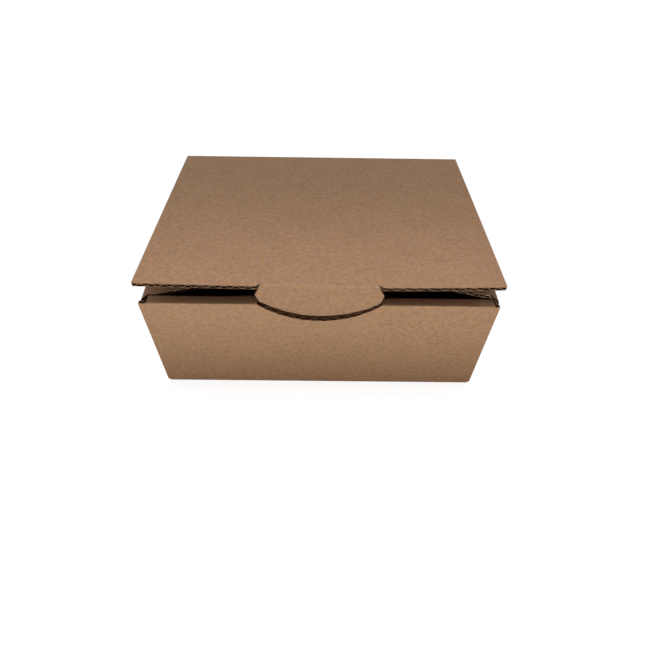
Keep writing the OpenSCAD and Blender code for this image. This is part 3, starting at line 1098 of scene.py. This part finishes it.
@dataclass
class HingeCrease:
    """The crushed crease at the back, made in the shape it has with the lid ajar.

    Flat is the straight run below the outer paper's fold, and knee is where the lid's straight run
    starts. Pleat is how far the inner paper's pleat stands off the middle between its two ends.
    """

    sizes: BoxSizes
    fold_r: float = 1.1
    fold_steps: int = 8
    flat: float = 0.6
    knee: float = 2.0
    pleat: float = 1.5
    pleat_ends: tuple[Point, Point] = ((-0.15, -0.1), (-0.2, 0.1))
    columns: int = 64
    sheet_a: float = 290.0
    sharp: float = 50.0

    def strip(self, name: str, line: list[np.ndarray], with_rub_and_highlight: bool) -> Piece:
        """Sweeps a line in y and z across the box as a thin closed strip.

        Args:
            name: Name of the piece.
            line: The strip's outer line. Its thickness lies to the left of it.
            with_rub_and_highlight: True where the middle of the fold shows pale rubbing and a
                painted highlight.

        Returns:
            The piece.
        """
        s, count, path = self.sizes, self.columns, np.array(line)
        along = np.gradient(path, axis=0)
        along /= np.linalg.norm(along, axis=1)[:, None]
        offset = path + np.stack([-along[:, 1], along[:, 0]], axis=1) * s.board.liner
        gone = gone_along(path)
        rub_and_highlight_share = np.exp(-((gone - gone[-1] / 2) ** 2)) * with_rub_and_highlight
        ring = np.vstack([path, offset[::-1]])
        run, rub_and_highlight_amounts = (np.concatenate([row, row[::-1]]) for row in (gone, rub_and_highlight_share))
        across = np.linspace(-s.width / 2, s.width / 2, count)
        sheet = np.array([(x, self.sheet_a + g, 0.0) for g in run for x in across])
        faces = []
        for i in range(len(ring)):
            this, following = i * count, (i + 1) % len(ring) * count
            for k in range(count - 1):
                faces.append((this + k, this + k + 1, following + k + 1, following + k))
        for k in (0, count - 1):
            for i in range(len(path) - 1):
                pair = (i, i + 1, len(ring) - 2 - i, len(ring) - 1 - i)
                faces.append(tuple(p * count + k for p in pair))
        mesh = bpy.data.meshes.new(name)
        mesh.from_pydata([(x * MM, y * MM, z * MM) for y, z in ring for x in across], [], faces)
        note(mesh, "POINT", sheet, np.repeat(rub_and_highlight_amounts, count))
        work = bmesh.new()
        work.from_mesh(mesh)
        bmesh.ops.recalc_face_normals(work, faces=work.faces)
        return show_paper(mesh, work, self.sharp)

    def build(self) -> list[Piece]:
        """Makes the outer and the inner strip of the crease.

        Returns:
            The two pieces.
        """
        s, board = self.sizes, self.sizes.board
        ajar = math.radians(s.ajar)
        ahead = np.array([-math.cos(ajar), math.sin(ajar)])
        under = np.array([-math.sin(ajar), -math.cos(ajar)])
        fall = np.array([0.0, -1.0])
        hinge = np.array([s.back_y, s.hinge_z])
        base = np.array([s.back_y, s.wall_h - s.hinge_gap])
        half = math.acos(float(ahead @ fall)) / 2
        middle = (ahead + fall) / np.linalg.norm(ahead + fall)
        centre = hinge + middle * self.fold_r / math.sin(half)
        first, last = (hinge + leg * self.fold_r / math.tan(half) - centre for leg in (fall, ahead))
        angles = (math.degrees(math.atan2(p[1], p[0])) for p in (first, last))
        arc = arc_points((centre[0], centre[1]), self.fold_r, *angles, self.fold_steps)
        outer = [base, base - fall * self.flat, *map(np.array, arc),
                 hinge + ahead * self.knee, hinge + ahead * board.leg]
        skin = self.strip("hinge_outer_liner", outer, True)
        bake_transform(skin)
        low = base - np.array([board.thick - board.liner, 0.0])
        high = hinge + ahead * board.leg + under * (board.thick - board.liner)
        deep = (low + high) / 2 + self.pleat
        enter, leave = (deep + np.array(step) for step in self.pleat_ends)
        inner = [low, (low + deep) / 2, enter, deep, leave, (high + deep) / 2, high]
        pleat = self.strip("hinge_inner_liner", inner, False)
        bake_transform(pleat)
        return [skin, pleat]


class Shades:
    """Makes shader nodes and links them, in a material, the world or a group."""

    def __init__(self, tree: bpy.types.NodeTree) -> None:
        """Works in that tree."""
        self.tree = tree

    @classmethod
    def of(cls, owner: bpy.types.Material | bpy.types.World) -> "Shades":
        """Empties a material's or the world's nodes, and works there.

        Args:
            owner: The material or world.

        Returns:
            Its empty shades.
        """
        owner.use_nodes = True
        owner.node_tree.nodes.clear()
        return cls(owner.node_tree)

    def put(self, socket: Socket, value: object) -> None:
        """Feeds an input from another node's socket, or sets it to a value.

        Args:
            socket: The input.
            value: A socket or a plain value.
        """
        if isinstance(value, Socket):
            self.tree.links.new(value, socket)
        else:
            socket.default_value = value

    def node(self, kind: str, **values: object) -> bpy.types.Node:
        """Adds a shader node.

        Args:
            kind: The node's type, without ShaderNode before it.
            values: Its properties, and its inputs by name with spaces as underscores.

        Returns:
            The node.
        """
        made = self.tree.nodes.new("ShaderNode" + kind)
        for key, value in values.items():
            if hasattr(made, key):
                setattr(made, key, value)
            else:
                self.put(made.inputs[key.replace("_", " ")], value)
        return made

    def fed(self, kind: str, feeds: dict[int, object], **values: object) -> bpy.types.Node:
        """Adds a node whose inputs are fed by their places.

        Args:
            kind: The node's type, without ShaderNode before it.
            feeds: What each place takes.
            values: Its properties.

        Returns:
            The node.
        """
        made = self.node(kind, **values)
        for place, value in feeds.items():
            self.put(made.inputs[place], value)
        return made

    def maths(self, operation: str, *values: object) -> Socket:
        """The result of a Math node, whose inputs are numbers or sockets."""
        return self.fed("Math", dict(enumerate(values)), operation=operation).outputs[0]

    def add(self, first: object, second: object) -> Socket:
        """Adds two values."""
        return self.maths("ADD", first, second)

    def times(self, first: object, second: object) -> Socket:
        """Multiplies two values."""
        return self.maths("MULTIPLY", first, second)

    def swing(self, noise: Socket, gain: object) -> Socket:
        """A noise about 0, times a gain."""
        return self.times(self.maths("SUBTRACT", noise, 0.5), gain)

    def noise(self, vector: Socket, scale: float, detail: float, roughness: float = 0.5,
              distortion: float = 0.0) -> Socket:
        """The value of a Noise Texture node.

        Args:
            vector: Where it is read.
            scale: Its scale.
            detail: Its number of finer layers.
            roughness: How much the finer layers count.
            distortion: How much it is bent.

        Returns:
            The value, about 0.5.
        """
        return self.node("TexNoise", Vector=vector, Scale=scale, Detail=detail,
                         Roughness=roughness, Distortion=distortion).outputs["Fac"]

    def ramp(self, value: Socket, low: float, high: float, to_low: float, to_high: float) -> Socket:
        """Maps one range of a value smoothly onto another.

        Args:
            value: What is mapped.
            low: Start of its range.
            high: End of its range.
            to_low: Result at the start.
            to_high: Result at the end.

        Returns:
            The mapped value.
        """
        feeds = dict(enumerate((value, low, high, to_low, to_high)))
        return self.fed("MapRange", feeds, interpolation_type="SMOOTHSTEP").outputs[0]

    def mix(self, share: Socket, first: object, second: object) -> Socket:
        """Mixes two colours, from the first at 0 to the second at 1."""
        return self.fed("Mix", {0: share, 6: first, 7: second}, data_type="RGBA").outputs[2]

    def either(self, share: Socket, first: bpy.types.Node,
               second: bpy.types.Node) -> bpy.types.Node:
        """Mixes two shaders, from the first at 0 to the second at 1."""
        return self.fed("MixShader", {0: share, 1: first.outputs[0], 2: second.outputs[0]})

    def seen(self) -> Socket:
        """1 for rays that show a surface, in a mirror or through glass too, and 0 for light.

        Returns:
            The value.
        """
        path = self.node("LightPath").outputs
        through = self.maths("MAXIMUM", path["Is Glossy Ray"], path["Is Transmission Ray"])
        return self.maths("MAXIMUM", path["Is Camera Ray"], through)


class Group:
    """A shader node group that is being made."""

    def __init__(self, name: str, inputs: dict[str, float | None], outputs: list[str]) -> None:
        """Starts a group.

        Args:
            name: Its name.
            inputs: Usual value of each input, or None for a vector.
            outputs: Names of its value outputs.
        """
        self.tree = bpy.data.node_groups.new(name, "ShaderNodeTree")
        for key, value in inputs.items():
            kind = "NodeSocketVector" if value is None else "NodeSocketFloat"
            socket = self.tree.interface.new_socket(name=key, in_out="INPUT", socket_type=kind)
            if value is not None:
                socket.default_value = value
        for key in outputs:
            self.tree.interface.new_socket(name=key, in_out="OUTPUT",
                                           socket_type="NodeSocketFloat")
        self.shades = Shades(self.tree)
        self.inputs = self.tree.nodes.new("NodeGroupInput").outputs
        self.outputs = self.tree.nodes.new("NodeGroupOutput").inputs

    def give(self, key: str, value: Socket) -> None:
        """Feeds one of the group's outputs."""
        self.shades.put(self.outputs[key], value)


def paper_group() -> bpy.types.NodeTree:
    """Fibres, clouds and specks of unbleached paper, in sheet millimetres.

    Returns:
        The group: Tone is about 1, Hue runs from 0 to 1 and Height is about 0.
    """
    group = Group("Kraft fibres", {"Sheet": None, "Fibre": 0.05, "Cloud": 0.03, "Speck": 0.2},
                  ["Tone", "Height", "Hue"])
    shades, sheet = group.shades, group.inputs["Sheet"]
    drawn = shades.node("Mapping", Vector=sheet, Scale=(0.9, 1.0, 1.0)).outputs[0]
    moved = shades.node("Mapping", Vector=drawn, Location=(31.0, 17.0, 0.0)).outputs[0]
    fibre = shades.noise(drawn, 0.36, 5.0, 0.9, 0.2)
    grain = shades.noise(drawn, 2.2, 3.0, 0.7)
    cloud = shades.noise(sheet, 0.05, 2.0, 0.55)
    blotch = shades.noise(drawn, 0.16, 2.0)
    cells = shades.node("TexVoronoi", Vector=drawn, Scale=0.5, Randomness=1.0)
    speck = shades.ramp(cells.outputs["Distance"], 0.04, 0.12, 1.0, 0.0)
    tone = shades.maths("SUBTRACT", 1.0, shades.times(speck, group.inputs["Speck"]))
    for noise, key, gain in ((fibre, "Fibre", 2.0), (cloud, "Cloud", 2.0), (blotch, "Cloud", 1.4)):
        tone = shades.add(tone, shades.swing(noise, shades.times(group.inputs[key], gain)))
    group.give("Tone", tone)
    group.give("Hue", shades.ramp(shades.noise(moved, 0.42, 3.0, 0.8), 0.3, 0.7, 0.0, 1.0))
    group.give("Height", shades.add(shades.swing(fibre, 0.5), shades.swing(grain, 0.5)))
    return group.tree


def washboard_group() -> bpy.types.NodeTree:
    """Faint darker lines where a liner is glued to the flutes' tips, as painted shade of the
    washboard dips there.

    Returns:
        The group, whose Lines is 1 on a line and 0 between two.
    """
    group = Group("Washboard shade lines", {"Sheet": None, "Pitch": Board.pitch}, ["Lines"])
    shades, sheet = group.shades, group.inputs["Sheet"]
    across = shades.node("SeparateXYZ", Vector=sheet).outputs[0]
    wobble = shades.swing(shades.noise(sheet, 0.12, 1.0), 0.9)
    phase = shades.maths("DIVIDE", shades.add(across, wobble), group.inputs["Pitch"])
    wave = shades.maths("COSINE", shades.times(phase, 2 * math.pi))
    group.give("Lines", shades.ramp(wave, 0.1, 1.0, 0.0, 1.0))
    return group.tree


def rub_and_highlight_group() -> bpy.types.NodeTree:
    """Pale broken rubbing along the folds, which also serves as their painted highlight.

    Returns:
        The group, whose Rub is 1 where the fold is palest, from rubbing and a painted highlight.
    """
    group = Group("Fold rub", {"Sheet": None, "Crease": 0.0, "Strength": 0.6}, ["Rub and highlight"])
    shades = group.shades
    patch = shades.noise(group.inputs["Sheet"], 0.5, 3.0, 0.6)
    broken = shades.ramp(patch, 0.32, 0.62, 0.45, 1.0)
    rub_and_highlight_share = shades.times(group.inputs["Crease"], broken)
    group.give("Rub and highlight", shades.times(rub_and_highlight_share, group.inputs["Strength"]))
    return group.tree


def from_srgb(shown: Triple) -> tuple[float, float, float, float]:
    """A colour given in 8-bit display values, as the linear values a socket takes."""
    linear = [((c / 255 + 0.055) / 1.055) ** 2.4 if c > 10.3 else c / 255 / 12.92 for c in shown]
    return (*linear, 1.0)


@dataclass(frozen=True)
class PaperFinish:
    """One paper of the board, or a painted shade on it, in 8-bit display colours."""

    name: str
    colour: Triple
    second: Triple
    # Colour of the folds' pale rubbing, which also serves as their painted highlight
    rub_and_highlight_colour: Triple
    fibre: float
    cloud: float
    speck: float
    # Strength of the painted shade along the washboard lines
    washboard_shade: float
    rub_and_highlight: float
    roughness: float
    bump: float
    rough_swing: float = 0.06
    bump_height: float = 0.00012
    gloss: float = 0.08

    def build(self, groups: dict[str, bpy.types.NodeTree]) -> bpy.types.Material:
        """Makes the material.

        Args:
            groups: The shared node groups by name.

        Returns:
            The material.
        """
        made = bpy.data.materials.new(self.name)
        shades = Shades.of(made)
        sheet = shades.node("Attribute", attribute_name="sheet").outputs["Vector"]
        crease = shades.node("Attribute", attribute_name="crease").outputs["Fac"]
        paper = shades.node("Group", node_tree=groups["paper"], Sheet=sheet, Fibre=self.fibre,
                            Cloud=self.cloud, Speck=self.speck).outputs
        washboard_shade = shades.node("Group", node_tree=groups["washboard_shade"], Sheet=sheet).outputs["Lines"]
        rub_and_highlight = shades.node("Group", node_tree=groups["rub_and_highlight"], Sheet=sheet, Crease=crease,
                          Strength=self.rub_and_highlight).outputs["Rub and highlight"]
        # Painted shade: the colour darkens along the washboard lines
        line = shades.maths("SUBTRACT", 1.0, shades.times(washboard_shade, self.washboard_shade))
        hue = shades.mix(paper["Hue"], from_srgb(self.colour), from_srgb(self.second))
        tinted = shades.fed("VectorMath", {0: hue}, operation="SCALE",
                            Scale=shades.times(paper["Tone"], line)).outputs[0]
        # Folds turn pale: partly rubbing, partly a painted highlight
        colour = shades.mix(rub_and_highlight, tinted, from_srgb(self.rub_and_highlight_colour))
        rough = shades.ramp(paper["Height"], -0.25, 0.25, self.roughness - self.rough_swing,
                            self.roughness + self.rough_swing)
        bump = shades.node("Bump", Strength=self.bump, Distance=self.bump_height,
                           Height=paper["Height"]).outputs[0]
        surface = shades.node("BsdfPrincipled", Specular_IOR_Level=self.gloss, Base_Color=colour,
                              Roughness=rough, Normal=bump)
        shades.node("OutputMaterial", Surface=surface.outputs[0])
        return made


@dataclass(frozen=True)
class Finishes:
    """The papers' finishes."""

    outer: PaperFinish = PaperFinish(
        "kraft_outer", (167, 124, 88), (154, 131, 112), (180, 150, 124),
        fibre=0.68, cloud=0.08, speck=0.08, washboard_shade=0.004, rub_and_highlight=0.35, roughness=0.88, bump=0.35)
    inner: PaperFinish = PaperFinish(
        "kraft_inner", (158, 114, 80), (147, 121, 102), (168, 134, 106),
        fibre=0.68, cloud=0.08, speck=0.08, washboard_shade=0.008, rub_and_highlight=0.3, roughness=0.9, bump=0.4)
    # Painted shade: the fluted medium's faces are painted dark brown for the shade inside the board
    fluting_shade: PaperFinish = PaperFinish(
        "fluting", (66, 43, 29), (62, 44, 31), (76, 54, 38),
        fibre=0.22, cloud=0.12, speck=0.1, washboard_shade=0.0, rub_and_highlight=0.0, roughness=0.94, bump=0.4)
    # Painted shade: near-black paper on the liners' sides facing the flutes, for the shade in the
    # channels
    channel_shade: PaperFinish = PaperFinish(
        "channel_painted_shade", (46, 30, 20), (43, 31, 22), (54, 38, 26),
        fibre=0.2, cloud=0.1, speck=0.1, washboard_shade=0.0, rub_and_highlight=0.0, roughness=0.95, bump=0.3)
    # The liners' raw edges: the cut paper's own colour, darkened further as painted shade of the
    # crushed edge
    cut: PaperFinish = PaperFinish(
        "cut_liner_and_shade", (122, 90, 68), (116, 91, 70), (140, 110, 86),
        fibre=0.3, cloud=0.12, speck=0.1, washboard_shade=0.0, rub_and_highlight=0.0, roughness=0.95, bump=0.5)
    cut_flute: PaperFinish = PaperFinish(
        "cut_fluting", (172, 136, 108), (164, 138, 112), (180, 150, 124),
        fibre=0.3, cloud=0.12, speck=0.1, washboard_shade=0.0, rub_and_highlight=0.0, roughness=0.95, bump=0.5)

    def dress(self, plies: dict[Ply, Piece], made: dict[str, bpy.types.Material]) -> None:
        """Gives each ply its paper, the cut paper on its raw edges, and the painted shade for the
        sides facing the flutes.

        Args:
            plies: The pieces.
            made: The materials by name.
        """
        papers = {Ply.OUTER: self.outer, Ply.INNER: self.inner, Ply.FLUTE: self.fluting_shade}
        for ply, piece in plies.items():
            edge = self.cut_flute if ply is Ply.FLUTE else self.cut
            for finish in (papers[ply], edge, self.channel_shade):
                piece.data.materials.append(made[finish.name])

    def build(self) -> dict[str, bpy.types.Material]:
        """Makes the shared groups and every material.

        Returns:
            The materials by name.
        """
        groups = {"paper": paper_group(), "washboard_shade": washboard_group(), "rub_and_highlight": rub_and_highlight_group()}
        papers = (self.outer, self.inner, self.fluting_shade, self.channel_shade, self.cut, self.cut_flute)
        return {paper.name: paper.build(groups) for paper in papers}


@dataclass(frozen=True)
class Lamp:
    """A soft lamp: place, aim and face in mm, power in watts and spread in degrees."""

    name: str
    place: Triple
    aim: Triple
    face: Point
    power: float
    spread: float
    colour: Triple

    def build(self) -> Piece:
        """Makes the lamp.

        Returns:
            The lamp.
        """
        data = bpy.data.lights.new(self.name, "AREA")
        data.shape = "RECTANGLE"
        data.size, data.size_y = self.face[0] * MM, self.face[1] * MM
        data.energy, data.color, data.spread = self.power, self.colour, math.radians(self.spread)
        made = show(self.name, data)
        made.location = Vector(self.place) * MM
        made.rotation_mode = "QUATERNION"
        towards = Vector(self.aim) - Vector(self.place)
        made.rotation_quaternion = towards.to_track_quat("-Z", "Y")
        return made


@dataclass
class Studio:
    """Camera, lamps, floor and surround. Each pair of limits is where a shade starts and ends."""

    focal_px: float = 484.179
    sensor: float = 36.0
    camera_at: Triple = (1.4223, -281.678, 297.661)
    pitch: float = 49.5067
    yaw: float = 0.6025
    roll: float = 1.0769
    lamps: tuple[Lamp, ...] = (
        Lamp("front_lamp", (0, -520, 102), (0, -82, 84), (420, 60), 0.154, 33.0,
             (0.95, 1.0, 0.98)),
        Lamp("top_lamp", (0, -45, 480), (0, -86, 98), (320, 120), 0.05, 30.0, (1.0, 0.86, 0.82)),
    )
    surround: float = 1.045
    surround_colour: Triple = (0.96, 1.0, 1.0)
    low_colour: Triple = (1.0, 0.82, 0.65)
    front_shade: float = 0.82
    front_limits: Point = (-0.3, 0.15)
    left_lift: float = 0.38
    left_limits: Point = (-0.8, 0.1)
    floor_size: float = 6.0
    floor_edges: int = 64
    floor_glow: float = 1.21
    floor_glow_share: float = 0.7
    floor_shown: Triple = (0.9, 0.9, 0.9)
    floor_cast: Triple = (0.40, 0.28, 0.17)
    dark_half: Point = (104.0, 76.0)

    def camera(self) -> None:
        """Makes the camera at the photograph's angle."""
        pitch, yaw, roll = (math.radians(v) for v in (self.pitch, self.yaw, self.roll))
        right = Vector((math.cos(yaw), -math.sin(yaw), 0))
        ahead = Vector((math.sin(yaw) * math.cos(pitch), math.cos(yaw) * math.cos(pitch),
                        -math.sin(pitch)))
        up = right.cross(ahead)
        turned = right * math.cos(roll) + up * math.sin(roll)
        upright = up * math.cos(roll) - right * math.sin(roll)
        data = bpy.data.cameras.new("camera")
        data.sensor_width = self.sensor
        data.lens = self.focal_px / IMAGE_PX * data.sensor_width
        data.clip_start, data.clip_end = 0.01, 20.0
        made = show("camera", data)
        facing = Matrix((turned, upright, -ahead)).transposed().to_4x4()
        made.matrix_world = Matrix.Translation(Vector(self.camera_at) * MM) @ facing
        bpy.context.scene.camera = made

    def world(self) -> None:
        """Makes the even surround, which is dimmer and warmer in front and shows white."""
        world = bpy.data.worlds.new("surround")
        bpy.context.scene.world = world
        shades = Shades.of(world)
        way = shades.node("TexCoord").outputs["Generated"]
        ways = shades.node("SeparateXYZ", Vector=way).outputs
        left = shades.ramp(ways[0], *self.left_limits, 1.0 - self.left_lift, 1.0)
        ahead = shades.times(shades.ramp(ways[1], *self.front_limits, 1.0, 0.0), left)
        dim = self.surround * (1 - self.front_shade)
        soft = shades.node(
            "Background", Strength=shades.ramp(ahead, 0.0, 1.0, self.surround, dim),
            Color=shades.mix(ahead, (*self.surround_colour, 1.0), (*self.low_colour, 1.0)))
        white = shades.node("Background", Color=(1.0, 1.0, 1.0, 1.0), Strength=1.0)
        mixed = shades.either(shades.seen(), soft, white)
        shades.node("OutputWorld", Surface=mixed.outputs[0])

    def floor(self) -> None:
        """Makes the pale floor, which shows white but for the box's shadow and under the box."""
        mesh = bpy.data.meshes.new("floor")
        edge = arc_points((0.0, 0.0), self.floor_size, 0, 360, self.floor_edges)[:-1]
        mesh.from_pydata([(x, y, 0.0) for x, y in edge], [], [tuple(range(self.floor_edges))])
        material = bpy.data.materials.new("pale_floor")
        shades = Shades.of(material)
        spot = shades.node("SeparateXYZ", Vector=shades.node("TexCoord").outputs["Object"]).outputs
        outside = shades.maths("MAXIMUM", *(
            shades.maths("GREATER_THAN", shades.maths("ABSOLUTE", spot[k]), half * MM)
            for k, half in enumerate(self.dark_half)))
        cast = shades.node("BsdfDiffuse", Color=(*self.floor_cast, 1.0))
        shown = shades.node("BsdfDiffuse", Color=(*self.floor_shown, 1.0))
        glow = shades.node("Emission", Color=(1.0, 1.0, 1.0, 1.0), Strength=self.floor_glow)
        bright = shades.either(shades.times(outside, self.floor_glow_share), shown, glow)
        mixed = shades.either(shades.seen(), cast, bright)
        shades.node("OutputMaterial", Surface=mixed.outputs[0])
        mesh.materials.append(material)
        made = show("floor", mesh)

    def build(self) -> None:
        """Makes everything round the box."""
        bpy.context.scene.view_settings.view_transform = "Standard"
        self.camera()
        for lamp in self.lamps:
            lamp.build()
        self.world()
        self.floor()


def main() -> None:
    """Builds the box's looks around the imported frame."""
    logging.basicConfig(level=logging.INFO, format="%(message)s")
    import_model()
    Studio().build()
    sizes = BoxSizes()
    finishes = Finishes()
    materials = finishes.build()
    settling = Settling(sizes)
    for part in (Tray(sizes, settling), Lid(sizes, settling)):
        plies = part.build()
        finishes.dress(plies, materials)
        for piece in plies.values():
            LOG.info("%s: %d faces", piece.name, len(piece.data.polygons))
    for piece in HingeCrease(sizes).build():
        paper = finishes.outer if "outer" in piece.name else finishes.inner
        piece.data.materials.append(materials[paper.name])
        LOG.info("%s: %d faces", piece.name, len(piece.data.polygons))


if __name__ == "__main__":
    main()
